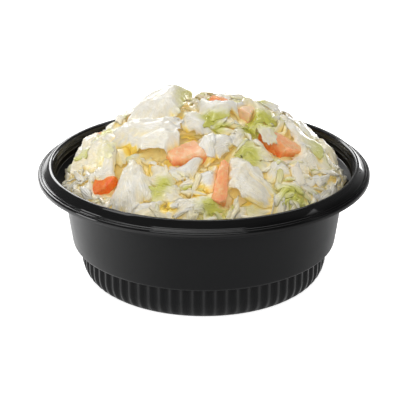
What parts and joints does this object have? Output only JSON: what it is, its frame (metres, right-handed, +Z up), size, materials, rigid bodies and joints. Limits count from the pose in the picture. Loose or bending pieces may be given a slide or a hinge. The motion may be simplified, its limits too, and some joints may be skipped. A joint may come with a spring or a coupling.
{
  "type": "coleslaw in a round take-out bowl",
  "caption": "Heap of creamy chopped cabbage with carrot pieces, standing high in a round black plastic take-out bowl with a stepped rim and a ribbed foot.",
  "frame": {"origin": "middle of the bowl's foot ring, on the surface it stands on", "axes": "+Z up, +X to the right and +Y away from someone who faces the bowl's front"},
  "size_m": [0.146, 0.146, 0.0829],
  "materials": {
    "bowl_plastic": "glossy black moulded plastic, satin on the side wall",
    "cabbage": "wet pale cabbage with a thin creamy dressing",
    "carrot": "wet orange carrot with a thin creamy dressing"
  },
  "bodies": {
    "root": {"bowl": "bowl_plastic", "slaw": "cabbage", "carrot_1": "carrot", "carrot_2": "carrot", "carrot_3": "carrot", "carrot_4": "carrot", "carrot_5": "carrot", "carrot_6": "carrot", "carrot_7": "carrot", "carrot_8": "carrot", "carrot_9": "carrot", "carrot_10": "carrot", "carrot_11": "carrot", "carrot_12": "carrot"}
  },
  "joints": []
}
